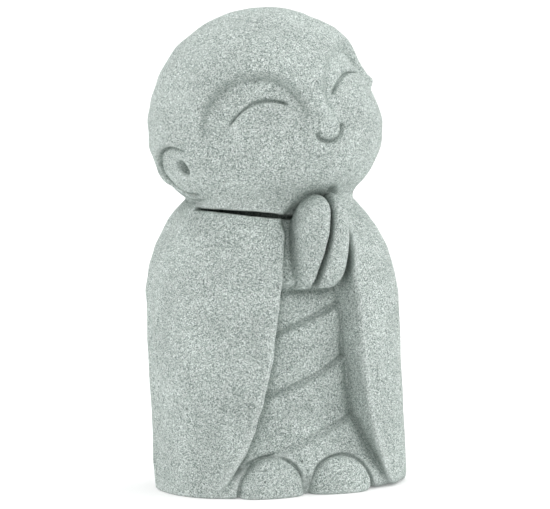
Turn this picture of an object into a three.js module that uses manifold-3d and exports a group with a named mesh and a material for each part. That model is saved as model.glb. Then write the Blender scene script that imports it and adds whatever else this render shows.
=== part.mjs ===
// A small jizo statue, cast in one piece: a child monk with a round, tilted head, hands pressed together in
// greeting, a long sleeved cloak that opens over a draped robe, and two bare feet under the hem.
// Millimetres, +Z up. The statue faces -Y, so its own left side is +X. It stands on its flat underside.
import * as THREE from 'three';
import { mergeVertices } from 'three/addons/utils/BufferGeometryUtils.js';
import Module from 'manifold-3d';

const wasm = await Module();
wasm.setup();

// ---- driving dimensions ----------------------------------------------------------------------------------
const HEIGHT = 80;
const SCALE = HEIGHT / 79.7; // the sizes below describe a statue 79.7 high

// The middle of the statue's outline seen from above, in the frame that the sizes below use. The origin
// goes under it.
const MIDDLE = { x: -0.05 * SCALE, y: -0.59 * SCALE };

// Cloak: an upright rounded column that closes over the shoulders like a dome.
const CLOAK = {
  halfWidth: 21 * SCALE,
  halfDepth: 17.5 * SCALE,
  squareness: 2.3, // 2 would be an ellipse
  shoulderStart: 31 * SCALE, // where the sides begin to turn in
  domeRise: 22.5 * SCALE,
  top: 50 * SCALE,
  edgeRound: 0.8 * SCALE, // rounding at the bottom edge
  lean: -0.027, // sideways, for each millimetre of height
  baseX: 0.4 * SCALE,
};

// Front opening between the two sleeves, from the hands down to the ground.
const OPENING = {
  baseX: -0.25 * SCALE,
  lean: 0.047, // sideways, for each millimetre of height
  high: 45 * SCALE,
  halfTop: 6.5 * SCALE,
  draft: 4.3 * SCALE, // how much wider it grows evenly downwards
  draftPower: 1.3,
  flare: 5 * SCALE, // how much wider it grows near the ground
  flarePower: 5,
  flareShift: -0.5 * SCALE, // the flare goes further to the statue's right
  slantAtGround: 0.1, // how far the inner faces lean in, for each millimetre of depth
  slantRise: 0.008 / SCALE, // and how much more with each millimetre of height
  slantTop: 34 * SCALE,
  outerY: -17.5 * SCALE,
  backY: -8.6 * SCALE,
};

// Robe inside the opening, with three soft diagonal folds.
const ROBE = {
  inset: 5.2 * SCALE, // behind the cloak's surface
  insetAtGround: 1.7 * SCALE,
  top: 46 * SCALE,
  foldStep: 0.6 * SCALE,
  foldFall: 9 * SCALE, // height over which a fold fades out below its ledge
  foldSlope: 0.385, // each fold climbs towards the statue's left
  foldHeights: [28.2, 18.3, 8.6].map((z) => z * SCALE), // at the middle of the robe
};

// Hands: two upright pads, palm to palm, tipped forward at the fingertips. Lists give the statue's right hand
// first, then its left.
const HAND = {
  contactX: 2.06 * SCALE,
  lean: 0.14, // sideways, for each millimetre along the hand
  halfThick: [2.05 * SCALE, 2.5 * SCALE],
  taper: [0.21, -0.29], // how much thicker the fingertips are than the middle
  halfDepth: 5.1 * SCALE, // in front of the middle
  halfDepthBehind: 6.5 * SCALE,
  halfLong: 8.6 * SCALE,
  centreY: -14.2 * SCALE,
  centreZ: 41 * SCALE,
  tip: THREE.MathUtils.degToRad(23),
  wristZ: 33.9 * SCALE, // the flat lower end
  palmFlatness: 0.45, // 1 would be as full as the back of the hand
  press: 0.15 * SCALE, // how far each palm runs into the other
};

const FOOT = {
  spread: 6.05 * SCALE,
  centreX: -0.95 * SCALE,
  centreY: -14 * SCALE,
  halfWidth: 5.5 * SCALE,
  halfDepth: 3.3 * SCALE, // in front of its widest section
  back: 7 * SCALE, // behind it
  high: [6.3 * SCALE, 5.85 * SCALE],
  archGap: 0.5 * SCALE, // between a foot and the hem's arch round it
  archDepth: 4.6 * SCALE,
};

// Head: a slightly flattened ball, rolled towards the statue's right and turned towards its left.
const HEAD = {
  centre: new THREE.Vector3(-1.15, -0.2, 60.35).multiplyScalar(SCALE),
  halfWidth: 19.5 * SCALE,
  halfDepth: 19 * SCALE,
  crown: 19.35 * SCALE, // above the centre
  jaw: 16.7 * SCALE, // below it
  roll: THREE.MathUtils.degToRad(13),
  turn: THREE.MathUtils.degToRad(8.3),
};

// Collar: a thin deep gap between the cloak and the chin, from the statue's right side round to the hands.
const COLLAR = {
  height: 44.5 * SCALE, // on the middle axis
  slope: [-0.14, -0.042], // upwards, for each millimetre along X and along Y
  gap: 0.72 * SCALE,
  innerRadius: 9 * SCALE,
  outerRadius: 26 * SCALE,
  rightAngle: THREE.MathUtils.degToRad(77), // either way from straight ahead
  leftAngle: THREE.MathUtils.degToRad(24),
};

// Face, in degrees of longitude (0 is straight ahead, + to the statue's left) and latitude on the head.
// Lists give the statue's right side first, then its left.
const FACE = {
  eyeFrom: [14, 14],
  eyeTo: [49, 57],
  eyeCrest: [28.5, 37],
  eyeLatitude: [22.1, 21.6],
  eyeCurve: [0.0255, 0.0125],
  eyeBlend: 9, // over which the socket fades into the cheek below the eye
  browCentre: [34, 41],
  browHalf: [31, 38],
  browRise: [27.5, 29.5],
  browFoot: 10.5,
  browPower: 2.3,
  socketDepth: 1 * SCALE,
  socketEdge: 5,
  noseLatitude: 10.5,
  noseSize: 4,
  noseHeight: 0.6 * SCALE,
  mouthCentre: 4.4,
  mouthHalf: 7.9,
  mouthLatitude: -1.3,
  mouthDrop: 6,
  grooveRadius: 0.42 * SCALE,
};

const EAR = {
  longitude: 82.5,
  latitude: -8.7,
  high: 5.5 * SCALE,
  wide: 6.1 * SCALE,
  proud: 1.1 * SCALE,
  rimInset: 0.84, // the groove inside the rim, as a share of the ear's outline
  grooveRadius: 0.4 * SCALE,
  holeRadius: 1 * SCALE,
  holeForward: 1.3 * SCALE,
  holeUp: 0.9 * SCALE,
};

// ---- helpers ---------------------------------------------------------------------------------------------
const { degToRad, smoothstep, lerp } = THREE.MathUtils;

function solidOf(geometry) {
  const bare = geometry.clone();
  bare.deleteAttribute('normal');
  bare.deleteAttribute('uv');
  const merged = mergeVertices(bare, 1e-4);
  return new wasm.Manifold(new wasm.Mesh({
    numProp: 3,
    vertProperties: new Float32Array(merged.attributes.position.array),
    triVerts: new Uint32Array(merged.index.array),
  }));
}

function geometryOf(solid) {
  const mesh = solid.getMesh();
  const geometry = new THREE.BufferGeometry();
  geometry.setAttribute('position', new THREE.BufferAttribute(new Float32Array(mesh.vertProperties), 3));
  geometry.setIndex(new THREE.BufferAttribute(new Uint32Array(mesh.triVerts), 1));
  geometry.computeVertexNormals();
  return geometry;
}

// Moves every vertex of a geometry: place(v) changes v in place.
function moveVertices(geometry, place) {
  const position = geometry.attributes.position;
  const v = new THREE.Vector3();
  for (let i = 0; i < position.count; i += 1) {
    v.fromBufferAttribute(position, i);
    place(v);
    position.setXYZ(i, v.x, v.y, v.z);
  }
  return geometry;
}

// A ball of unit radius with its poles on Z.
const unitBall = (around, over) => new THREE.SphereGeometry(1, around, over).rotateX(Math.PI / 2);

function ellipsoid(centre, radii, around, over) {
  const ball = unitBall(around, over);
  ball.scale(radii[0], radii[1], radii[2]);
  ball.translate(centre[0], centre[1], centre[2]);
  return solidOf(ball);
}

const signedPower = (value, power) => Math.sign(value) * Math.abs(value) ** power;

// ---- cloak and robe --------------------------------------------------------------------------------------
// How wide the cloak is at a height, as a share of its width at the ground.
function cloakShare(z) {
  const above = Math.max(0, z - CLOAK.shoulderStart) / CLOAK.domeRise;
  return Math.sqrt(Math.max(0.02, 1 - above * above));
}

// The bottom edge is rounded off inwards.
function footInset(z) {
  const below = Math.max(0, CLOAK.edgeRound - z);
  return CLOAK.edgeRound - Math.sqrt(Math.max(0, CLOAK.edgeRound ** 2 - below ** 2));
}

// A column whose section is the cloak's, inset by a distance that may change with height.
// Directions bunch towards the front when frontBias is over 0.
function column(around, over, top, insetAt, frontBias = 0) {
  const cylinder = new THREE.CylinderGeometry(1, 1, 1, around, over);
  cylinder.rotateX(Math.PI / 2);
  moveVertices(cylinder, (v) => {
    const reach = Math.hypot(v.x, v.y);
    const even = Math.atan2(v.x, -v.y);
    const angle = even - frontBias * Math.sin(even);
    const z = (v.z + 0.5) * top;
    const x = signedPower(Math.sin(angle), 2 / CLOAK.squareness);
    const y = -signedPower(Math.cos(angle), 2 / CLOAK.squareness);
    const share = cloakShare(z);
    const inset = insetAt(z, angle) + footInset(z);
    v.set(
      reach * x * (CLOAK.halfWidth * share - inset) + CLOAK.baseX + CLOAK.lean * z,
      reach * y * (CLOAK.halfDepth * share - inset),
      z,
    );
  });
  return solidOf(cylinder);
}

// The middle and the half width of the opening at a height.
function openingAt(z) {
  const down = THREE.MathUtils.clamp(1 - z / OPENING.high, 0, 1);
  const flare = down ** OPENING.flarePower;
  return {
    middle: OPENING.baseX + OPENING.lean * z + OPENING.flareShift * flare,
    half: OPENING.halfTop + OPENING.draft * down ** OPENING.draftPower + OPENING.flare * flare,
  };
}

// The space between the sleeves. Its side faces lean in towards the robe.
function openingSpace() {
  const box = new THREE.BoxGeometry(2, 1, 1, 1, 1, 18);
  moveVertices(box, (v) => {
    const z = lerp(0, OPENING.high + 5 * SCALE, v.z + 0.5);
    const y = v.y < 0 ? 1.5 * OPENING.outerY : OPENING.backY;
    const slant = OPENING.slantAtGround + OPENING.slantRise * Math.min(z, OPENING.slantTop);
    const { middle, half } = openingAt(z);
    const below = z === 0 ? SCALE : 0; // starts a little under the ground
    v.set(middle + v.x * (half - slant * (y - OPENING.outerY)), y, z - below);
  });
  return solidOf(box);
}

// Each fold starts as a ledge along a climbing line and fades out downwards.
function foldRelief(x, z) {
  let relief = 0;
  for (const height of ROBE.foldHeights) {
    const below = height + ROBE.foldSlope * x - z;
    const ledge = smoothstep(below, -0.5, 0.5);
    relief = Math.max(relief, ledge * (1 - smoothstep(below, 0.5, ROBE.foldFall)));
  }
  return relief * ROBE.foldStep;
}

function robe() {
  return column(36, 30, ROBE.top, (z, angle) => {
    const ground = 1 - smoothstep(z, 0, 13 * SCALE);
    const inset = lerp(ROBE.inset, ROBE.insetAtGround, ground);
    const front = smoothstep(Math.cos(angle), 0, 0.5);
    return inset - front * foldRelief(CLOAK.halfDepth * Math.sin(angle), z);
  }, 0.35);
}

// ---- collar, hands and feet ------------------------------------------------------------------------------
// The gap under the chin: a thin slab round the front of the neck, lower towards the statue's left.
function collarGap() {
  const shape = new THREE.Shape();
  const from = -Math.PI / 2 - COLLAR.rightAngle;
  const to = -Math.PI / 2 + COLLAR.leftAngle;
  shape.absarc(0, 0, COLLAR.outerRadius, from, to, false);
  shape.absarc(0, 0, COLLAR.innerRadius, to, from, true);
  shape.closePath();
  const slab = new THREE.ExtrudeGeometry(shape, {
    depth: COLLAR.gap, bevelEnabled: false, curveSegments: 14,
  });
  moveVertices(slab, (v) => {
    v.x += CLOAK.lean * COLLAR.height;
    v.z += COLLAR.height + COLLAR.slope[0] * v.x + COLLAR.slope[1] * v.y;
  });
  return solidOf(slab);
}

function hand(side) {
  const pad = unitBall(20, 14);
  const index = side < 0 ? 0 : 1;
  moveVertices(pad, (v) => {
    // The palm side is nearly flat, the back of the hand is full.
    const across = v.x > 0 ? v.x : signedPower(v.x, HAND.palmFlatness);
    const halfThick = HAND.halfThick[index] * (1 + HAND.taper[index] * v.z);
    const depth = v.y * (v.y < 0 ? HAND.halfDepth : HAND.halfDepthBehind);
    const along = v.z * HAND.halfLong;
    const up = depth * Math.sin(HAND.tip) + along * Math.cos(HAND.tip);
    v.set(
      HAND.contactX + HAND.lean * up + side * (halfThick - HAND.press + across * halfThick),
      HAND.centreY + depth * Math.cos(HAND.tip) - along * Math.sin(HAND.tip),
      HAND.centreZ + up,
    );
  });
  if (side < 0) pad.index.array.reverse();
  const floor = new THREE.BoxGeometry(60, 60, 40).translate(0, 0, HAND.wristZ - 20);
  return solidOf(pad).subtract(solidOf(floor));
}

// A foot is a low dome that reaches back into the robe.
function foot(side) {
  const dome = moveVertices(unitBall(18, 12), (v) => {
    const depth = v.y < 0 ? FOOT.halfDepth : FOOT.back;
    v.set(
      FOOT.centreX + side * FOOT.spread + v.x * FOOT.halfWidth,
      FOOT.centreY + v.y * depth,
      v.z * FOOT.high[side < 0 ? 0 : 1],
    );
  });
  return solidOf(dome);
}

// The room that the hem leaves round a foot.
function hemArch(side) {
  const gap = FOOT.archGap;
  return ellipsoid(
    [FOOT.centreX + side * FOOT.spread, FOOT.centreY, 0],
    [FOOT.halfWidth + gap, FOOT.archDepth, FOOT.high[side < 0 ? 0 : 1] + gap], 18, 12,
  );
}

// ---- head ------------------------------------------------------------------------------------------------
const headTurn = new THREE.Matrix4().makeRotationZ(HEAD.turn)
  .multiply(new THREE.Matrix4().makeRotationY(-HEAD.roll));

// Direction on the head of a longitude and latitude, in the statue's frame.
function headDirection(longitude, latitude) {
  const lon = degToRad(longitude);
  const lat = degToRad(latitude);
  const level = Math.cos(lat);
  const local = new THREE.Vector3(Math.sin(lon) * level, -Math.cos(lon) * level, Math.sin(lat));
  return local.applyMatrix4(headTurn);
}

// Distance from the head's centre to its plain surface along a direction.
function headRadius(direction) {
  const high = direction.z > 0 ? HEAD.crown : HEAD.jaw;
  return 1 / Math.hypot(direction.x / HEAD.halfWidth, direction.y / HEAD.halfDepth, direction.z / high);
}

function headPoint(longitude, latitude, above = 0) {
  const direction = headDirection(longitude, latitude);
  return direction.clone().multiplyScalar(headRadius(direction) + above).add(HEAD.centre);
}

function eyeLatitude(lon) {
  const side = lon < 0 ? 0 : 1;
  return FACE.eyeLatitude[side] - FACE.eyeCurve[side] * (Math.abs(lon) - FACE.eyeCrest[side]) ** 2;
}

function browLatitude(lon) {
  const side = lon < 0 ? 0 : 1;
  const across = Math.abs(Math.abs(lon) - FACE.browCentre[side]) / FACE.browHalf[side];
  return across < 1 ? FACE.browFoot + FACE.browRise[side] * Math.sqrt(1 - across ** FACE.browPower) : -90;
}

// The eye sockets lie lower than the forehead, under two arched brows that run down into a small nose.
function faceRelief(lon, lat) {
  const underBrow = smoothstep(browLatitude(lon) - lat, 0, FACE.socketEdge);
  const aboveCheek = smoothstep(lat, eyeLatitude(lon) - FACE.eyeBlend, eyeLatitude(lon));
  const nose = Math.exp(-((lon / FACE.noseSize) ** 2) - ((lat - FACE.noseLatitude) / FACE.noseSize) ** 2);
  return nose * FACE.noseHeight - underBrow * aboveCheek * FACE.socketDepth;
}

function headBall() {
  const ball = unitBall(52, 32);
  moveVertices(ball, (v) => {
    const lon = THREE.MathUtils.radToDeg(Math.atan2(v.x, -v.y));
    const lat = THREE.MathUtils.radToDeg(Math.asin(THREE.MathUtils.clamp(v.z, -1, 1)));
    v.copy(headPoint(lon, lat, faceRelief(lon, lat)));
  });
  return solidOf(ball);
}

// A round groove along a curve: what is cut away from the surface it runs on.
function groove(points, radius, steps) {
  const section = new THREE.Shape();
  section.absarc(0, 0, radius, 0, 2 * Math.PI, false);
  const path = new THREE.CatmullRomCurve3(points);
  return solidOf(new THREE.ExtrudeGeometry(section, {
    steps, curveSegments: 3, bevelEnabled: false, extrudePath: path,
  }));
}

function eyeGroove(side) {
  const index = side < 0 ? 0 : 1;
  const points = [];
  for (let i = 0; i <= 6; i += 1) {
    const lon = side * lerp(FACE.eyeFrom[index], FACE.eyeTo[index], i / 6);
    points.push(headPoint(lon, eyeLatitude(lon), -FACE.socketDepth / 2));
  }
  return groove(points, FACE.grooveRadius, 10);
}

function mouthGroove() {
  const points = [];
  for (let i = 0; i <= 6; i += 1) {
    const angle = Math.PI * (1 + i / 6);
    const lon = FACE.mouthCentre + FACE.mouthHalf * Math.cos(angle);
    points.push(headPoint(lon, FACE.mouthLatitude + FACE.mouthDrop * Math.sin(angle)));
  }
  return groove(points, FACE.grooveRadius, 10);
}

// An ear is a low round mound with a raised rim: a ring groove inside the rim and a small deep hole in front.
function earParts(side) {
  const centre = headPoint(side * EAR.longitude, EAR.latitude);
  const out = headDirection(side * EAR.longitude, EAR.latitude);
  const up = headDirection(0, 90);
  up.addScaledVector(out, -up.dot(out)).normalize();
  const across = new THREE.Vector3().crossVectors(up, out);
  const place = new THREE.Matrix4().makeBasis(across, up, out).setPosition(centre);
  const mound = new THREE.SphereGeometry(1, 16, 10).scale(EAR.wide, EAR.high, EAR.proud).applyMatrix4(place);
  const ring = new THREE.TorusGeometry(EAR.rimInset, EAR.grooveRadius / EAR.high, 5, 18);
  ring.scale(EAR.wide, EAR.high, EAR.high).translate(0, 0, 0.62 * EAR.proud).applyMatrix4(place);
  const hole = new THREE.SphereGeometry(EAR.holeRadius, 8, 6);
  hole.translate(-side * EAR.holeForward, EAR.holeUp, 0.6 * EAR.proud).applyMatrix4(place);
  return { mound: solidOf(mound), carving: solidOf(ring).add(solidOf(hole)) };
}

function head() {
  let solid = headBall();
  for (const side of [-1, 1]) {
    const ear = earParts(side);
    solid = solid.add(ear.mound).subtract(ear.carving).subtract(eyeGroove(side));
  }
  return solid.subtract(mouthGroove());
}

// ---- the whole statue ------------------------------------------------------------------------------------
function statue() {
  let solid = column(52, 20, CLOAK.top, () => 0).subtract(openingSpace()).add(robe());
  for (const side of [-1, 1]) {
    solid = solid.subtract(hemArch(side));
  }
  solid = solid.add(foot(-1)).add(foot(1));
  solid = solid.add(head()).subtract(collarGap()).add(hand(-1)).add(hand(1));
  const below = new THREE.BoxGeometry(90, 90, 30).translate(0, 0, -15);
  return solid.subtract(solidOf(below));
}

const sandstone = new THREE.MeshStandardMaterial({ color: 0xb0bab6, roughness: 0.95, metalness: 0 });
const mesh = new THREE.Mesh(geometryOf(statue()), sandstone);
mesh.name = 'jizo_statue';
mesh.position.set(-MIDDLE.x, -MIDDLE.y, 0);

const group = new THREE.Group();
group.add(mesh);

export default group;
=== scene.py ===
import math

import bpy
import numpy as np
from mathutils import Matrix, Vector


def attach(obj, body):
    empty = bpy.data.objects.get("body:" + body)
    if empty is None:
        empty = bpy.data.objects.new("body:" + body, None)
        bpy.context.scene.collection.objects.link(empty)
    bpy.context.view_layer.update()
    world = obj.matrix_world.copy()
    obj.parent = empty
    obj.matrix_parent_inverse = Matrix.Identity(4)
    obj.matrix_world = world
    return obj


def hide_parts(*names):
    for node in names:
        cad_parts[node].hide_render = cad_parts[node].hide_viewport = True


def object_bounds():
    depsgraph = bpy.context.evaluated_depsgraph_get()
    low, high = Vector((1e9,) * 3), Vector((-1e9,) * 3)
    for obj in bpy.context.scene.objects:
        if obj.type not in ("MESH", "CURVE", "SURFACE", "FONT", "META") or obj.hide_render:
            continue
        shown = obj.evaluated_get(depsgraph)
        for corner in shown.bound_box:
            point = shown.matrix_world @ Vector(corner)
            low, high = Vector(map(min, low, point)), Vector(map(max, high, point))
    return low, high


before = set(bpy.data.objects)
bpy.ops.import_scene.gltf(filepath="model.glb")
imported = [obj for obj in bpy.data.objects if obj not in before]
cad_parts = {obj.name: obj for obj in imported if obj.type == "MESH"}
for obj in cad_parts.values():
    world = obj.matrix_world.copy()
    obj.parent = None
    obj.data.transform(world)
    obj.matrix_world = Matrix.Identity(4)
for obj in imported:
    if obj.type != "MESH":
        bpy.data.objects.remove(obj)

import openvdb
from mathutils import Vector

# A small cast-stone jizo statue. The carving is described as distances to simple rounded forms, in carving
# millimetres: z up from the ground, the face towards -y, the statue's own left towards +x. The forms are
# joined and cut into one another with small fillets, and one closed mesh is drawn over the result.

CAD_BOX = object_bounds()
LOW, HIGH = (Vector(corner) for corner in CAD_BOX)
CARVED_HEIGHT = 79.7
UNIT = (HIGH.z - LOW.z) / CARVED_HEIGHT  # metres in a carving millimetre
MIDDLE = (-0.05, -0.59)  # the middle of the outline in plan, in carving millimetres

# Cloak: an upright rounded column that closes over the shoulders like a dome.
CLOAK_HALF_WIDTH = 21.0
CLOAK_HALF_DEPTH = 17.5
CLOAK_SQUARENESS = 2.3
SHOULDER_START = 31.0
DOME_RISE = 22.5
LEAN = (-0.027, 0.0)
BASE_X = 0.4
BASE_ROUNDING = (0.4, 2.4)  # in general, then at the left sleeve's corner

# Front opening between the sleeves.
OPENING_X = -0.25
OPENING_LEAN = 0.047
OPENING_TOP = 45.0
OPENING_HALF_TOP = 6.5
OPENING_DRAFT, OPENING_DRAFT_POWER = 4.3, 1.3
OPENING_FLARE, OPENING_FLARE_POWER = 5.0, 5.0
OPENING_FLARE_SHIFT = -0.5  # the flare goes further to the statue's right
OPENING_SLANT = (0.10, 0.008)  # how far the inner faces lean in: at the ground, and more with height
OPENING_FRONT_Y = -17.5
OPENING_BACK_Y = -8.6
OPENING_CORNER = 1.0  # the right sleeve's rounded corner at the collar
SLEEVE_LIP = 0.8

# Robe and its folds. Each fold: height at the middle, slope, curl at the sides.
ROBE_INSET = 5.2
ROBE_INSET_AT_GROUND = (2.2, 0.8)  # in the middle, then beside the feet
ROBE_SIDE_SETBACK = 1.0
FOLDS = ((28.2, 0.384, 0.0036), (18.3, 0.408, 0.0132), (8.6, 0.37, 0.003))
FOLD_STEP = 0.7
FOLD_CREASE = 0.45
FOLD_FALL = 9.0

# Hands, palm to palm. Pairs give the statue's right hand, then its left, unless a note says otherwise.
HAND_CONTACT_X = 2.06
HAND_LEAN = 0.14
HAND_OFFSET = (1.85, 1.05)
HAND_HALF_THICK = (2.75, 3.9)
HAND_FULLNESS = (2.2, 2.25)
HAND_TAPER = (0.18, -0.36)  # how much thicker the fingertips are than the middle
HAND_HALF_DEPTH = (5.1, 6.5)  # in front of the middle, then behind it
HAND_HALF_LONG = 8.6
HAND_PALM_EDGE = (0.7, 1.0)
HAND_CREASE = (0.38, 0.36)  # depth and width of the line between the palms
HAND_GAP = (1.1, -12.2, 4.0)  # round the left hand: its width, how far back it goes, and where it starts
HAND_CENTRE = (-14.2, 41.0)  # y and z
HAND_TIP = math.radians(23)
WRIST_Z = 33.9
CUFF_INSET = 2.6  # the stone between the right hand and its sleeve

# Feet and the hem's arches over them.
FOOT_SPREAD = 6.05
FOOT_CENTRE = (-0.95, -14.0)  # x and y, midway between the feet
FOOT_SIZE = (5.5, 3.3)
FOOT_BACK = 7.0
FOOT_HEIGHT = (6.3, 5.85)  # the statue's right foot, then its left
FOOT_SQUARENESS = 2.15
ARCH_Y = -14.0
ARCH_GAP = 0.22
ARCH_DEPTH = 4.6
TOE_GAP_Y, TOE_GAP = -16.0, (1.3, 2.0, 4.3)

# Neck slot: a thin deep saw-cut gap under the chin.
SLOT_FLOOR = 44.5  # on the middle axis
SLOT_TILT = (-0.14, -0.042)  # it rises towards the statue's right side, and a little towards the front
SLOT_HEIGHT = 0.72
SLOT_RIGHT_ANGLE, SLOT_LEFT_ANGLE = math.radians(77), math.radians(24)
SLOT_NECK_RADIUS = 9.0
NECK_FILLET = (0.5, 3.4)  # at the sides and back, then at the front

# Head.
HEAD_CENTRE = (-1.15, -0.2, 60.35)
HEAD_HALF_WIDTH = 19.5
HEAD_HALF_DEPTH = 19.0
HEAD_CROWN = 19.35
HEAD_JAW = 15.65
JAW_SQUARENESS = 2.33
HEAD_ROLL = math.radians(13.0)
HEAD_TURN = math.radians(8.3)

# Face, in degrees of longitude (0 straight ahead, + to the statue's left) and latitude on the head.
DEGREE = 0.337  # carving millimetres in one degree on the head
BROW_CENTRE = (34.0, 41.0)  # the statue's right brow, then its left
BROW_HALF = (31.0, 38.0)
BROW_RISE = (27.5, 29.5)
BROW_FOOT, BROW_POWER = 10.5, 2.3
BROW_EDGE = (4.0, 3.2)  # at the middle of a brow, then at its outer end
BROW_EDGE_LEFT = 7.0
SOCKET_DEPTH = (1.3, 1.9)
SOCKET_LOW, SOCKET_HIGH = -11.0, 20.0
FOREHEAD_SWELL = 0.45
EYE_CREST, EYE_LATITUDE = (28.5, 37.0), (22.1, 21.6)  # the statue's right eye, then its left
EYE_CURVE = (0.0255, 0.0125)
EYE_DEPTH, EYE_WIDTH = 0.75, 0.3
NOSE_LATITUDE, NOSE_SIZE, NOSE_HEIGHT = 10.5, 4.0, 0.6
MOUTH_CENTRE, MOUTH_LATITUDE, MOUTH_HALF, MOUTH_DROP = 4.4, -1.3, 7.9, 6.0
MOUTH_DEPTH, MOUTH_WIDTH = 1.0, 0.48

# Ears.
EAR_LONGITUDE, EAR_LATITUDE = 82.5, -8.7
EAR_SIZE = (5.2, 4.6)  # the groove's half width and half height
EAR_GROOVE_DEPTH, EAR_GROOVE_WIDTH = 0.7, 0.34
EAR_RIM_HEIGHT, EAR_RIM_WIDTH, EAR_RIM_OFFSET = 0.85, 0.8, 0.85
EAR_SWELL = 0.4
EAR_HOLE = (1.3, 0.9)  # forward and up from the ear's middle
EAR_HOLE_SIZE = (1.15, 1.3, 3.2)
EAR_HOLE_ROUNDING = 0.9

# Fillets in inner corners, and roundings of outer edges.
ROBE_FILLET = 0.25
HEM_ROUNDING = 0.9
FOOT_FILLET = 0.45
SLOT_ROUNDING = 0.3
WRIST_ROUNDING = 0.5
PALM_FILLET = 0.5
HAND_GAP_ROUNDING = 1.0
HAND_FILLET = 0.15

# Camera.
AIM_HEIGHT = 0.484  # as a share of the statue's height
CAMERA_AZIMUTH = -22.0
CAMERA_ELEVATION = 5.0
CAMERA_ROLL = math.radians(1.3)
CAMERA_DISTANCE = 10 * (HIGH.z - LOW.z)
FRAME_WIDTH = 1.15 * (HIGH.z - LOW.z)  # what the picture spans at the statue

# Light: azimuth, elevation, spread in degrees, and power.
SOFT_LIGHTS = {
    "top_light": (-10, 78, 110, 2.45),
    "left_light": (-125, 10, 70, 1.5),
    "right_light": (80, 25, 70, 1.45),
}
ROOM_LIGHT = 0.26
PAPER_TONE, PAPER_GLOW = 0.82, 0.2
FLOOR_REACH = 6.0  # metres

# Sandstone: how fine its grains are, and its colours.
GRAINS_PER_METRE = (9000, 6200)  # fine, then coarse
MATRIX = (0.41, 0.475, 0.445, 1)
DARK_GRAIN = (0.10, 0.13, 0.12, 1)
PALE_GRAIN = (0.84, 0.90, 0.87, 1)
SPECK = (0.80, 0.83, 0.82, 1)
# Painted shade on what faces down under the brows, the nose, the folds and the hem.
PAINTED_SHADE_UNDER_LEDGES = (0.17, 0.21, 0.19, 1)
# Painted shade in deep places, where little light reaches.
PAINTED_SHADE_IN_DEEP_PLACES = (0.19, 0.235, 0.21, 1)
# Painted shade in grooves and tight corners.
PAINTED_SHADE_IN_GROOVES = (0.12, 0.155, 0.138, 1)
# A paler colour on proud edges.
PALER_ON_PROUD_EDGES = (0.74, 0.79, 0.77, 1)
# The air holes are real pits; their dark colour is painted shade inside them.
PAINTED_SHADE_IN_AIR_HOLES = (0.10, 0.115, 0.108, 1)

# Mesh.
VOXEL = 0.24
BLOCK = 8  # voxels along the side of a block
MOST_TRIANGLES = 190000


# ---- shaping helpers -------------------------------------------------------------------------------------
def ramp(value, start, end):
    """0 before start, 1 after end, and a smooth rise between."""
    share = np.clip((value - start) / (end - start), 0, 1)
    return share * share * (3 - 2 * share)


def mix(a, b, share):
    return a + (b - a) * share


def joined(a, b, fillet):
    """Two forms as one, with a fillet in the corner between them."""
    share = np.clip(0.5 + 0.5 * (b - a) / fillet, 0, 1)
    return mix(b, a, share) - fillet * share * (1 - share)


def shared(a, b, rounding):
    """What two forms have in common, with its edge rounded."""
    return -joined(-a, -b, rounding)


def cut(a, b, rounding):
    """The first form with the second cut away."""
    return shared(a, -b, rounding)


def bell(value, width):
    return np.exp(-((value / width) ** 2))


def rounded_ball(x, y, z, size, power=2.0):
    """Distance to an ellipsoid, or to a squarer one when power is over 2."""
    reach = (np.abs(x / size[0]) ** power + np.abs(y / size[1]) ** power + np.abs(z / size[2]) ** power)
    reach = np.maximum(reach, 1e-6) ** (1 / power)
    return (reach - 1) * np.sqrt(x * x + y * y + z * z + 1e-6) / reach


# ---- cloak, robe, hands and feet -------------------------------------------------------------------------
def column(x, y, z, inset):
    """The cloak's own form, or a copy of it set in by a distance."""
    x = x - BASE_X - LEAN[0] * z
    y = y - LEAN[1] * z
    rise = np.maximum(z - SHOULDER_START, 0)
    power = CLOAK_SQUARENESS
    flat = np.abs(x / (CLOAK_HALF_WIDTH - inset)) ** power + np.abs(y / (CLOAK_HALF_DEPTH - inset)) ** power
    reach = np.sqrt(flat ** (2 / power) + (rise / (DOME_RISE - inset)) ** 2 + 1e-6)
    return (reach - 1) * np.sqrt(x * x + y * y + rise * rise) / reach


def opening_half_width(z):
    down = np.clip(1 - z / OPENING_TOP, 0, 1)
    draft = OPENING_HALF_TOP + OPENING_DRAFT * down ** OPENING_DRAFT_POWER
    return draft + OPENING_FLARE * down ** OPENING_FLARE_POWER


def opening_middle(z):
    down = np.clip(1 - z / OPENING_TOP, 0, 1)
    return OPENING_X + OPENING_LEAN * z + OPENING_FLARE_SHIFT * down ** OPENING_FLARE_POWER


def opening(x, y, z):
    lean = (OPENING_SLANT[0] + OPENING_SLANT[1] * np.clip(z, 0, 34)) * (y - OPENING_FRONT_Y)
    corner = OPENING_CORNER * ramp(z, 42.8, 45.6) * ramp(-x, 0, 2)
    sides = np.abs(x - opening_middle(z)) - (opening_half_width(z) - lean + corner)
    return np.maximum(0.93 * sides, y - OPENING_BACK_Y)


def fold_relief(x, z):
    """Each fold is a ledge along a climbing line that fades out below it."""
    ledges, creases = np.zeros_like(x), np.zeros_like(x)
    for height, slope, curl in FOLDS:
        below = height + slope * x + curl * x * x - z
        ledge = ramp(below, -0.35, 0.55) * (1 - ramp(below, 0.6, FOLD_FALL))
        ledges = np.maximum(ledges, FOLD_STEP * ledge)
        creases = creases + FOLD_CREASE * bell(below + 0.1, 0.5)
    return ledges - creases


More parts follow.
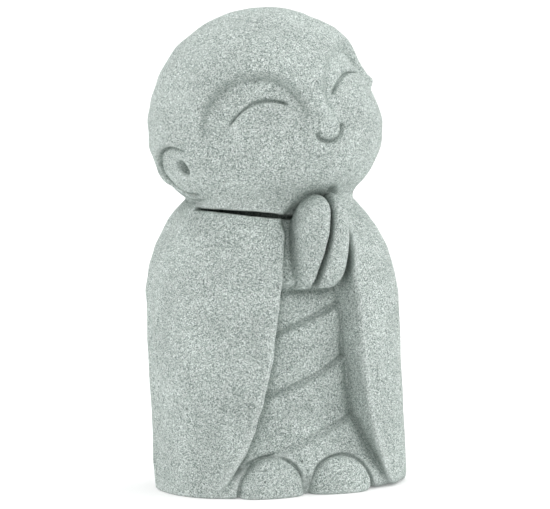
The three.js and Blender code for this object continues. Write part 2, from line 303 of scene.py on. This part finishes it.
def robe(x, y, z):
    across = np.abs(x - opening_middle(z)) / opening_half_width(z)
    ground = mix(*ROBE_INSET_AT_GROUND, ramp(across, 0.6, 0.85))
    inset = mix(ground, ROBE_INSET, ramp(z, 0, 13))
    inset = inset + ROBE_SIDE_SETBACK * ramp(across, 0.62, 1.02) * ramp(z, 3, 14)
    inset = inset + 0.4 * bell(z - WRIST_Z + 0.3, 0.6)
    cuff = ramp(z, WRIST_Z, WRIST_Z + 1.2) * (1 - ramp(x, HAND_CONTACT_X - 3, HAND_CONTACT_X))
    inset = mix(inset, CUFF_INSET, cuff)
    relief = np.where(y < 0, fold_relief(x, z), 0)
    return column(x, y, z, inset - relief)


def hand(x, y, z, side):
    y = y - HAND_CENTRE[0]
    up = z - HAND_CENTRE[1]
    depth = y * math.cos(HAND_TIP) + up * math.sin(HAND_TIP)
    along = up * math.cos(HAND_TIP) - y * math.sin(HAND_TIP)
    across = side * (x - HAND_CONTACT_X - HAND_LEAN * up)
    depth = np.where(depth > 0, depth * HAND_HALF_DEPTH[0] / HAND_HALF_DEPTH[1], depth)
    taper = 1 + HAND_TAPER[side > 0] * np.clip(along / HAND_HALF_LONG, -1, 1)
    size = (HAND_HALF_THICK[side > 0] * taper, HAND_HALF_DEPTH[0], HAND_HALF_LONG)
    pad = rounded_ball(across - HAND_OFFSET[side > 0], depth, along, size, HAND_FULLNESS[side > 0])
    pad = shared(pad, 0.02 - across, HAND_PALM_EDGE[side > 0])
    return shared(pad, WRIST_Z - z, WRIST_ROUNDING)


def foot(x, y, z, side):
    x = x - FOOT_CENTRE[0] - side * FOOT_SPREAD
    y = y - FOOT_CENTRE[1]
    y = np.where(y > 0, y * FOOT_SIZE[1] / FOOT_BACK, y)
    return rounded_ball(x, y, z, (*FOOT_SIZE, FOOT_HEIGHT[side > 0]), FOOT_SQUARENESS)


def hem_space(x, y, z):
    """What the hem leaves free round the two feet and between them."""
    space = rounded_ball(x - FOOT_CENTRE[0], y - TOE_GAP_Y, z, TOE_GAP)
    for side in (-1, 1):
        centre = FOOT_CENTRE[0] + side * FOOT_SPREAD
        size = (FOOT_SIZE[0] + ARCH_GAP, ARCH_DEPTH, FOOT_HEIGHT[side > 0] + ARCH_GAP)
        space = np.minimum(space, rounded_ball(x - centre, y - ARCH_Y, z, size, FOOT_SQUARENESS))
    return space


def neck_slot(x, y, z):
    floor = SLOT_FLOOR + SLOT_TILT[0] * x + SLOT_TILT[1] * y
    slab = np.abs(z - floor - SLOT_HEIGHT / 2) - SLOT_HEIGHT / 2
    x = x - LEAN[0] * SLOT_FLOOR
    reach = np.sqrt(x * x + y * y)
    angle = np.arctan2(x, -y)
    beside = np.maximum(-angle - SLOT_RIGHT_ANGLE, angle - SLOT_LEFT_ANGLE) * reach
    return np.maximum(np.maximum(slab, beside), SLOT_NECK_RADIUS - reach)


# ---- head ------------------------------------------------------------------------------------------------
def turn_matrix():
    """Columns: the head's own left, back and up."""
    roll_cos, roll_sin = math.cos(HEAD_ROLL), math.sin(HEAD_ROLL)
    turn_cos, turn_sin = math.cos(HEAD_TURN), math.sin(HEAD_TURN)
    turn = np.array([[turn_cos, -turn_sin, 0], [turn_sin, turn_cos, 0], [0, 0, 1]])
    roll = np.array([[roll_cos, 0, -roll_sin], [0, 1, 0], [roll_sin, 0, roll_cos]])
    return turn @ roll


HEAD_AXES = turn_matrix()


def plain_head(x, y, z):
    jaw = np.abs(np.minimum(z, 0) / HEAD_JAW)
    crown = np.maximum(z, 0) / HEAD_CROWN
    value = (x / HEAD_HALF_WIDTH) ** 2 + (y / HEAD_HALF_DEPTH) ** 2 + crown ** 2 + jaw ** JAW_SQUARENESS
    slope_x = 2 * x / HEAD_HALF_WIDTH ** 2
    slope_y = 2 * y / HEAD_HALF_DEPTH ** 2
    slope_z = 2 * crown / HEAD_CROWN + JAW_SQUARENESS * jaw ** (JAW_SQUARENESS - 1) / HEAD_JAW
    slope = np.sqrt(slope_x ** 2 + slope_y ** 2 + slope_z ** 2)
    return (value - 1) / np.maximum(slope, 0.03)


def brow_inside(lon, lat):
    """Degrees inside the arch of the nearer brow, negative outside it."""
    to_left = ramp(lon, -6, 6)
    centre, half, rise = (mix(*pair, to_left) for pair in (BROW_CENTRE, BROW_HALF, BROW_RISE))
    across = np.abs((np.abs(lon) - centre) / half)
    up = np.maximum(lat - BROW_FOOT, 0) / rise
    value = across ** BROW_POWER + up * up
    slope_across = BROW_POWER * across ** (BROW_POWER - 1) / (half * 0.85)
    slope = np.sqrt(slope_across ** 2 + (2 * up / rise) ** 2)
    return (1 - value) / np.maximum(slope, 0.02)


def brow_edge(lon):
    right = mix(*BROW_EDGE, ramp(-lon, 32, 60))
    return mix(right, BROW_EDGE_LEFT, ramp(lon, 5, 15))


def eye_line(lon, lat):
    """Millimetres above the closed eye's line."""
    pairs = (EYE_CREST, EYE_LATITUDE, EYE_CURVE)
    crest, latitude, curve = (np.where(lon > 0, left, right) for right, left in pairs)
    reach = np.abs(lon) - crest
    slope = 2 * curve * reach / 0.93
    return (lat - latitude + curve * reach * reach) / np.sqrt(1 + slope * slope) * DEGREE


def face_relief(lon, lat):
    inside = brow_inside(lon, lat)
    step = np.clip(inside / brow_edge(lon), 0, 1) ** 2
    under_nose = 1 - ramp(lat, -7, 11.5)
    reach = np.abs(lon)
    left = ramp(lon, 20, 50)
    fade = (1 - ramp(reach - 20 * left, 56, 80)) * mix(*SOCKET_DEPTH, left)
    low = np.clip((lat - SOCKET_LOW) / (SOCKET_HIGH - SOCKET_LOW), 0, 1.1)
    relief = -low * fade * np.maximum(step, under_nose)
    relief = relief + FOREHEAD_SWELL * bell(inside + 8, 12) * (1 - ramp(reach, 50, 85))
    relief = relief + NOSE_HEIGHT * np.exp(-(lon ** 2 + (lat - NOSE_LATITUDE) ** 2) / NOSE_SIZE ** 2)
    height = eye_line(lon, lat)
    reach = reach - 9 * ramp(lon, 40, 55)
    drawn = ramp(reach, 13, 15.5) * (1 - 0.7 * ramp(reach, 46, 50)) * (1 - ramp(reach, 52, 56))
    relief = relief - EYE_DEPTH * drawn * bell(height, EYE_WIDTH)
    relief = relief + 0.12 * drawn * bell(height + 0.9, 0.7)
    across = (lon - MOUTH_CENTRE) / MOUTH_HALF
    down = (lat - MOUTH_LATITUDE) / MOUTH_DROP
    ring = (np.sqrt(across ** 2 + down ** 2) - 1) * 7.5 * DEGREE
    smile = 1 - ramp(down, -0.05, 0.2)
    relief = relief - MOUTH_DEPTH * smile * bell(ring, MOUTH_WIDTH)
    return relief + 0.2 * bell(np.sqrt(across ** 2 + (down + 0.1) ** 2), 0.7)


def head_direction(longitude, latitude):
    lon, lat = math.radians(longitude), math.radians(latitude)
    local = (math.sin(lon) * math.cos(lat), -math.cos(lon) * math.cos(lat), math.sin(lat))
    return HEAD_AXES @ np.array(local)


def surface_point(direction):
    """The point of the plain head along a direction, from its centre."""
    reach = np.linspace(12, 24, 2401)
    values = plain_head(*(direction[:, None] * reach))
    return direction * reach[np.argmin(np.abs(values))]


def ear(x, y, z, side):
    """How high a low ear stands on the head, round-rimmed and open at the front, and the hole in it."""
    out = head_direction(side * EAR_LONGITUDE, EAR_LATITUDE)
    origin = surface_point(out)
    up = head_direction(0, 90)
    up = up - out * (up @ out)
    up = up / np.linalg.norm(up)
    fore = side * np.cross(out, up)
    x, y, z = x - origin[0], y - origin[1], z - origin[2]
    forward = x * fore[0] + y * fore[1] + z * fore[2]
    upward = x * up[0] + y * up[1] + z * up[2]
    outward = x * out[0] + y * out[1] + z * out[2]
    ring = np.sqrt((forward / EAR_SIZE[0]) ** 2 + (upward / EAR_SIZE[1]) ** 2)
    past = (ring - 1) * 0.5 * (EAR_SIZE[0] + EAR_SIZE[1])
    behind = 1 - ramp(forward / EAR_SIZE[0] + 0.35 * ramp(-upward, 1, 4), 0.2, 0.75)
    rim = EAR_RIM_HEIGHT * bell(past - EAR_RIM_OFFSET, EAR_RIM_WIDTH) * (1 - 0.8 * ramp(-upward, 1.5, 4))
    relief = rim - EAR_GROOVE_DEPTH * bell(past, EAR_GROOVE_WIDTH)
    relief = (relief * behind + EAR_SWELL * bell(ring, 0.8)) * ramp(outward, -5, -3.5)
    hole = rounded_ball(forward - EAR_HOLE[0], upward - EAR_HOLE[1], outward - 0.5, EAR_HOLE_SIZE)
    return relief, hole


def face_angles(x, y, z):
    """Longitude and latitude on the head of a place given from its centre."""
    local = [x * axis[0] + y * axis[1] + z * axis[2] for axis in HEAD_AXES.T]
    length = np.sqrt(x * x + y * y + z * z + 1e-6)
    lon = np.degrees(np.arctan2(local[0], -local[1]))
    return lon, np.degrees(np.arcsin(np.clip(local[2] / length, -1, 1)))


def head(x, y, z):
    x, y, z = x - HEAD_CENTRE[0], y - HEAD_CENTRE[1], z - HEAD_CENTRE[2]
    lon, lat = face_angles(x, y, z)
    form = plain_head(x, y, z) - face_relief(lon, lat)
    for side in (-1, 1):
        relief, hole = ear(x, y, z, side)
        form = cut(form - relief, hole, EAR_HOLE_ROUNDING)
    return form


# ---- the whole statue ------------------------------------------------------------------------------------
def statue(points):
    """Signed distance, near enough, from each point to the statue's surface: negative inside."""
    x, y, z = (points[:, i] for i in range(3))
    form = cut(column(x, y, z, 0.0), opening(x, y, z), SLEEVE_LIP)
    form = joined(form, robe(x, y, z), ROBE_FILLET)
    form = cut(form, hem_space(x, y, z), HEM_ROUNDING)
    for side in (-1, 1):
        form = joined(form, foot(x, y, z, side), FOOT_FILLET)
    form = joined(form, head(x, y, z), mix(*NECK_FILLET, ramp(-y, 3, 9)))
    form = cut(form, neck_slot(x, y, z), SLOT_ROUNDING)
    hands = joined(hand(x, y, z, -1), hand(x, y, z, 1), PALM_FILLET)
    beside_palms = x - HAND_CONTACT_X - HAND_LEAN * (z - HAND_CENTRE[1])
    hands = hands + HAND_CREASE[0] * bell(beside_palms, HAND_CREASE[1])
    gap, back, start = HAND_GAP
    beside = np.maximum(np.maximum(hands - gap, y - back), start - x)
    form = joined(cut(form, beside, HAND_GAP_ROUNDING), hands, HAND_FILLET)
    left_corner = ramp(x, 7, 13) * ramp(-y, 4, 9)
    return shared(form, -z, mix(*BASE_ROUNDING, left_corner))


def near_surface(low, counts):
    """Corners of the blocks of voxels that the surface may pass through."""
    side = BLOCK * VOXEL
    blocks = -(-counts // BLOCK)
    index = np.stack(np.meshgrid(*(np.arange(n) for n in blocks), indexing="ij"), -1).reshape(-1, 3)
    centres = (low + (index + 0.5) * side).astype(np.float32)
    values = statue(centres)
    return index, values, np.abs(values) < 1.6 * side


def carve():
    """Vertices in carving millimetres, and quads, of the closed surface."""
    low = np.array([-24.5, -23.5, -1.5])
    high = np.array([23.5, 21.5, 82.0])
    counts = np.ceil((high - low) / VOXEL / BLOCK).astype(int) * BLOCK
    index, values, near = near_surface(low, counts)
    volume = np.empty(counts, np.float32)
    inner = np.stack(np.meshgrid(*(np.arange(BLOCK),) * 3, indexing="ij"), -1).reshape(-1, 3)
    far = np.where(values > 0, 1.0, -1.0)
    coarse = far.reshape(counts // BLOCK)
    volume[:] = np.kron(coarse, np.ones((BLOCK,) * 3))
    cells = (index[near][:, None, :] * BLOCK + inner[None]).reshape(-1, 3)
    volume[tuple(cells.T)] = np.clip(statue((low + cells * VOXEL).astype(np.float32)), -1, 1)
    grid = openvdb.FloatGrid(1.0)
    grid.copyFromArray(volume)
    corners, quads = grid.convertToQuads(0.0)
    return low + corners * VOXEL, quads


def slope_at(points, step=0.04):
    """The direction straight out of the surface at each point, and how fast the distance grows there."""
    out = np.empty_like(points)
    for axis in range(3):
        shift = np.zeros(3)
        shift[axis] = step
        out[:, axis] = (statue(points + shift) - statue(points - shift)) / (2 * step)
    length = np.linalg.norm(out, axis=1, keepdims=True)
    return out / np.maximum(length, 1e-6), np.maximum(length[:, 0], 0.3)


def settle(points, rounds):
    """Moves points onto the surface."""
    for _ in range(rounds):
        out, speed = slope_at(points)
        move = np.clip(statue(points) / speed, -0.15, 0.15)
        points = points - out * move[:, None]
    return points


def undulation(points):
    """The slight unevenness of a hand-finished mould, in carving millimetres."""
    draw = np.random.default_rng(7)
    total = np.zeros(len(points))
    for length, height in ((9.0, 0.05), (6.0, 0.035), (4.0, 0.025), (2.6, 0.015)):
        for _ in range(3):
            direction = draw.normal(size=3)
            direction /= np.linalg.norm(direction)
            total += height * np.sin(points @ direction * (2 * math.pi / length) + draw.uniform(0, 6.28))
    return total


def to_scene(points):
    """From carving millimetres to metres in the model's frame."""
    centre = (LOW + HIGH) / 2
    place = np.array([centre.x - MIDDLE[0] * UNIT, centre.y - MIDDLE[1] * UNIT, LOW.z])
    return points * UNIT + place


def hollowness(points, out, reach):
    """0 on open surfaces, towards 1 in grooves and corners: how much of the way out is still near stone."""
    total = np.zeros(len(points))
    for share in (0.25, 0.5, 1.0):
        total += 1 - np.clip(statue(points + out * reach * share) / (reach * share), 0, 1)
    return total / 3


def sharpness(points, out, reach):
    """Towards 1 on proud edges: how thin the stone is just under the surface."""
    return np.clip(1 + statue(points - out * reach) / reach, 0, 1)


def shade_under_ledges(points, out):
    """Mask of painted shade: towards 1 on what faces down under the brows, the nose, the folds and the hem.
    """
    on_head = points - HEAD_CENTRE
    high = ramp(points[:, 2], 47, 50)
    plain = high * on_head[:, 2] / np.linalg.norm(on_head, axis=1)
    under = ramp(plain - out[:, 2], 0.1, 0.8) * np.maximum(high, 1 - ramp(points[:, 2], 31, 33))
    lon, lat = face_angles(*on_head.T)
    inside, edge = brow_inside(lon, lat), brow_edge(lon)
    band = ramp(inside, 0, edge) * (1 - ramp(inside, edge, edge + 1.2))
    band = band * high * ramp(lat, 6, 12) * (1 - ramp(np.abs(lon), 58, 68))
    return np.maximum(0.7 * under, band) * (1 - 0.7 * high * ramp(points[:, 0], 2, 7))


def statue_mesh():
    points, quads = carve()
    points = settle(points, 3)
    mesh = bpy.data.meshes.new("jizo_statue_carved")
    mesh.from_pydata(points.tolist(), [], quads[:, ::-1].tolist())
    piece = bpy.data.objects.new("jizo_statue_carved", mesh)
    bpy.context.scene.collection.objects.link(piece)
    thin = piece.modifiers.new("thin", "DECIMATE")
    thin.ratio = min(1.0, MOST_TRIANGLES / (2 * len(quads)))
    shown = bpy.data.meshes.new_from_object(piece.evaluated_get(bpy.context.evaluated_depsgraph_get()))
    piece.modifiers.clear()
    piece.data = shown
    bpy.data.meshes.remove(mesh)
    shown.name = "jizo_statue_carved"
    flat = np.empty(len(shown.vertices) * 3)
    shown.vertices.foreach_get("co", flat)
    points = settle(flat.reshape(-1, 3), 2)
    out, _ = slope_at(points)
    free = ramp(points[:, 2], 0.0, 1.5)
    # hollow, deep and under are masks for painted shade; edge is a mask for paler proud edges.
    for name, values in (
        ("hollow", hollowness(points, out, 1.6)),
        ("deep", hollowness(points, out, 6.0)),
        ("edge", sharpness(points, out, 0.9)),
        ("under", shade_under_ledges(points, out)),
    ):
        attribute = shown.attributes.new(name, "FLOAT", "POINT")
        attribute.data.foreach_set("value", values.astype(np.float32))
    points = points + out * (undulation(points) * free)[:, None]
    shown.vertices.foreach_set("co", to_scene(points).ravel())
    shown.polygons.foreach_set("use_smooth", [True] * len(shown.polygons))
    shown.update()
    return piece


# ---- sandstone -------------------------------------------------------------------------------------------
def add_node(tree, kind, values=None, **settings):
    node = tree.nodes.new(kind)
    for name, value in settings.items():
        setattr(node, name, value)
    for name, value in (values or {}).items():
        if isinstance(value, bpy.types.NodeSocket):
            tree.links.new(value, node.inputs[name])
        else:
            node.inputs[name].default_value = value
    return node


def blend_colour(tree, factor, a, b, mode="MIX"):
    node = add_node(tree, "ShaderNodeMix", data_type="RGBA", blend_type=mode)
    for socket, value in ((node.inputs[0], factor), (node.inputs[6], a), (node.inputs[7], b)):
        if isinstance(value, bpy.types.NodeSocket):
            tree.links.new(value, socket)
        else:
            socket.default_value = value
    return node.outputs[2]


def math_node(tree, operation, a, b=0.0):
    node = add_node(tree, "ShaderNodeMath", operation=operation)
    for socket, value in zip(node.inputs, (a, b)):
        if isinstance(value, bpy.types.NodeSocket):
            tree.links.new(value, socket)
        else:
            socket.default_value = value
    return node.outputs[0]


def mapped(tree, value, from_low, from_high, to_low=0.0, to_high=1.0):
    values = {0: value, 1: from_low, 2: from_high, 3: to_low, 4: to_high}
    node = add_node(tree, "ShaderNodeMapRange")
    for index, entry in values.items():
        if isinstance(entry, bpy.types.NodeSocket):
            tree.links.new(entry, node.inputs[index])
        else:
            node.inputs[index].default_value = entry
    return node.outputs[0]


def sand_grain_group():
    """Packed sand grains: a value that differs from grain to grain, and their height."""
    group = bpy.data.node_groups.new("sand_grain", "ShaderNodeTree")
    for name, kind in (("Position", "NodeSocketVector"), ("Grains per metre", "NodeSocketFloat")):
        group.interface.new_socket(name, in_out="INPUT", socket_type=kind)
    for name in ("Tone", "Height"):
        group.interface.new_socket(name, in_out="OUTPUT", socket_type="NodeSocketFloat")
    start = group.nodes.new("NodeGroupInput")
    end = group.nodes.new("NodeGroupOutput")
    cells = add_node(group, "ShaderNodeTexVoronoi", {
        "Vector": start.outputs["Position"], "Scale": start.outputs["Grains per metre"], "Randomness": 1.0,
    })
    tone = add_node(group, "ShaderNodeSeparateColor", {"Color": cells.outputs["Color"]})
    group.links.new(tone.outputs["Red"], end.inputs["Tone"])
    height = mapped(group, cells.outputs["Distance"], 0.0, 0.75, 1.0, 0.0)
    group.links.new(height, end.inputs["Height"])
    return group


def sandstone():
    material = bpy.data.materials.new("fine_grey_green_sandstone")
    material.use_nodes = True
    tree = material.node_tree
    tree.nodes.clear()
    output = tree.nodes.new("ShaderNodeOutputMaterial")
    surface = add_node(tree, "ShaderNodeBsdfPrincipled", {
        "Roughness": 0.92, "Specular IOR Level": 0.25, "IOR": 1.45,
    })
    tree.links.new(surface.outputs[0], output.inputs[0])
    position = tree.nodes.new("ShaderNodeTexCoord").outputs["Object"]

    group = sand_grain_group()
    fine, coarse = (add_node(tree, "ShaderNodeGroup", node_tree=group) for _ in GRAINS_PER_METRE)
    for grain, count in zip((fine, coarse), GRAINS_PER_METRE):
        tree.links.new(position, grain.inputs["Position"])
        grain.inputs["Grains per metre"].default_value = count
    body = blend_colour(tree, mapped(tree, fine.outputs["Tone"], 0.0, 0.55), DARK_GRAIN, MATRIX)
    body = blend_colour(tree, mapped(tree, fine.outputs["Tone"], 0.6, 1.0), body, PALE_GRAIN)
    speck = mapped(tree, coarse.outputs["Tone"], 0.86, 0.93)
    body = blend_colour(tree, math_node(tree, "MULTIPLY", speck, 0.55), body, SPECK)

    patch = add_node(tree, "ShaderNodeTexNoise", {"Vector": position, "Scale": 160.0, "Detail": 3.0})
    cloud = mapped(tree, patch.outputs["Fac"], 0.3, 0.7, 0.92, 1.08)
    body = blend_colour(tree, 1.0, body, cloud, "MULTIPLY")

    # Masks for painted shade (hollow, deep, under) and for paler proud edges (edge).
    hollow, deep, edge, under = (
        add_node(tree, "ShaderNodeAttribute", attribute_name=name).outputs["Fac"]
        for name in ("hollow", "deep", "edge", "under")
    )
    # Painted shade: a darker colour on what faces down under ledges.
    body = blend_colour(tree, math_node(tree, "MULTIPLY", under, 0.42), body, PAINTED_SHADE_UNDER_LEDGES)
    # Painted shade deep in the opening, between the parts and near the ground.
    body = blend_colour(tree, mapped(tree, deep, 0.3, 0.9, 0.0, 0.35), body, PAINTED_SHADE_IN_DEEP_PLACES)
    # Painted shade in grooves, the neck slot and the corners round the hands and feet.
    body = blend_colour(tree, mapped(tree, hollow, 0.3, 0.95, 0.0, 0.3), body, PAINTED_SHADE_IN_GROOVES)
    # A paler colour on proud edges.
    body = blend_colour(tree, mapped(tree, edge, 0.15, 0.6, 0.0, 0.25), body, PALER_ON_PROUD_EDGES)
    # Air holes: real pits in the bump, with painted shade as their dark colour.
    pits = add_node(tree, "ShaderNodeTexVoronoi", {"Vector": position, "Scale": 330.0, "Randomness": 1.0})
    pit = mapped(tree, pits.outputs["Distance"], 0.045, 0.075, 1.0, 0.0)
    body = blend_colour(tree, math_node(tree, "MULTIPLY", pit, 0.8), body, PAINTED_SHADE_IN_AIR_HOLES)
    tree.links.new(body, surface.inputs["Base Color"])

    coarse_height = math_node(tree, "MULTIPLY", coarse.outputs["Height"], 0.8)
    height = math_node(tree, "ADD", fine.outputs["Height"], coarse_height)
    height = math_node(tree, "SUBTRACT", height, math_node(tree, "MULTIPLY", pit, 3.0))
    bump = add_node(tree, "ShaderNodeBump", {"Height": height, "Strength": 0.5, "Distance": 0.00005})
    tree.links.new(bump.outputs[0], surface.inputs["Normal"])
    return material


# ---- the set ---------------------------------------------------------------------------------------------
def pale_paper():
    """Matt paper that glows a little, as if lit from below."""
    material = bpy.data.materials.new("pale_paper")
    material.use_nodes = True
    surface = material.node_tree.nodes["Principled BSDF"]
    surface.inputs["Base Color"].default_value = (PAPER_TONE, PAPER_TONE, PAPER_TONE, 1)
    surface.inputs["Roughness"].default_value = 0.9
    surface.inputs["Specular IOR Level"].default_value = 0.1
    surface.inputs["Emission Color"].default_value = (1, 1, 1, 1)
    surface.inputs["Emission Strength"].default_value = PAPER_GLOW
    return material


def floor():
    mesh = bpy.data.meshes.new("pale_floor")
    corners = [(x * FLOOR_REACH, y * FLOOR_REACH, 0) for x, y in ((-1, -1), (1, -1), (1, 1), (-1, 1))]
    mesh.from_pydata(corners, [], [(0, 1, 2, 3)])
    mesh.materials.append(pale_paper())
    plane = bpy.data.objects.new("pale_floor", mesh)
    bpy.context.scene.collection.objects.link(plane)


def soft_light(name, azimuth, elevation, spread, power):
    """A wide even light from one direction, like a lit wall of a light tent."""
    light = bpy.data.lights.new(name, "SUN")
    light.angle = math.radians(spread)
    light.energy = power
    lamp = bpy.data.objects.new(name, light)
    bpy.context.scene.collection.objects.link(lamp)
    aim(lamp, azimuth, elevation, 1.0)


def aim(thing, azimuth, elevation, distance):
    """Places a camera or lamp that looks at the middle of the statue."""
    target = Vector((0, 0, LOW.z + AIM_HEIGHT * (HIGH.z - LOW.z)))
    az, el = math.radians(azimuth), math.radians(elevation)
    back = Vector((math.sin(az) * math.cos(el), -math.cos(az) * math.cos(el), math.sin(el)))
    thing.location = target + back * distance
    thing.rotation_euler = back.to_track_quat("Z", "Y").to_euler()


def lighting():
    scene = bpy.context.scene
    scene.view_settings.view_transform = "Standard"
    world = bpy.data.worlds.new("white_room")
    world.use_nodes = True
    background = world.node_tree.nodes["Background"]
    background.inputs["Color"].default_value = (1, 1, 1, 1)
    background.inputs["Strength"].default_value = ROOM_LIGHT
    scene.world = world
    for name, settings in SOFT_LIGHTS.items():
        soft_light(name, *settings)


def camera():
    data = bpy.data.cameras.new("camera")
    data.sensor_fit = "HORIZONTAL"
    data.sensor_width = 36.0
    data.lens = 36.0 * CAMERA_DISTANCE / FRAME_WIDTH
    data.clip_end = 20
    view = bpy.data.objects.new("camera", data)
    bpy.context.scene.collection.objects.link(view)
    aim(view, CAMERA_AZIMUTH, CAMERA_ELEVATION, CAMERA_DISTANCE)
    view.rotation_euler.rotate_axis("Z", -CAMERA_ROLL)
    bpy.context.scene.camera = view


carved = statue_mesh()
carved.data.materials.append(sandstone())
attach(carved, "root")
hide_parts("jizo_statue")
floor()
lighting()
camera()
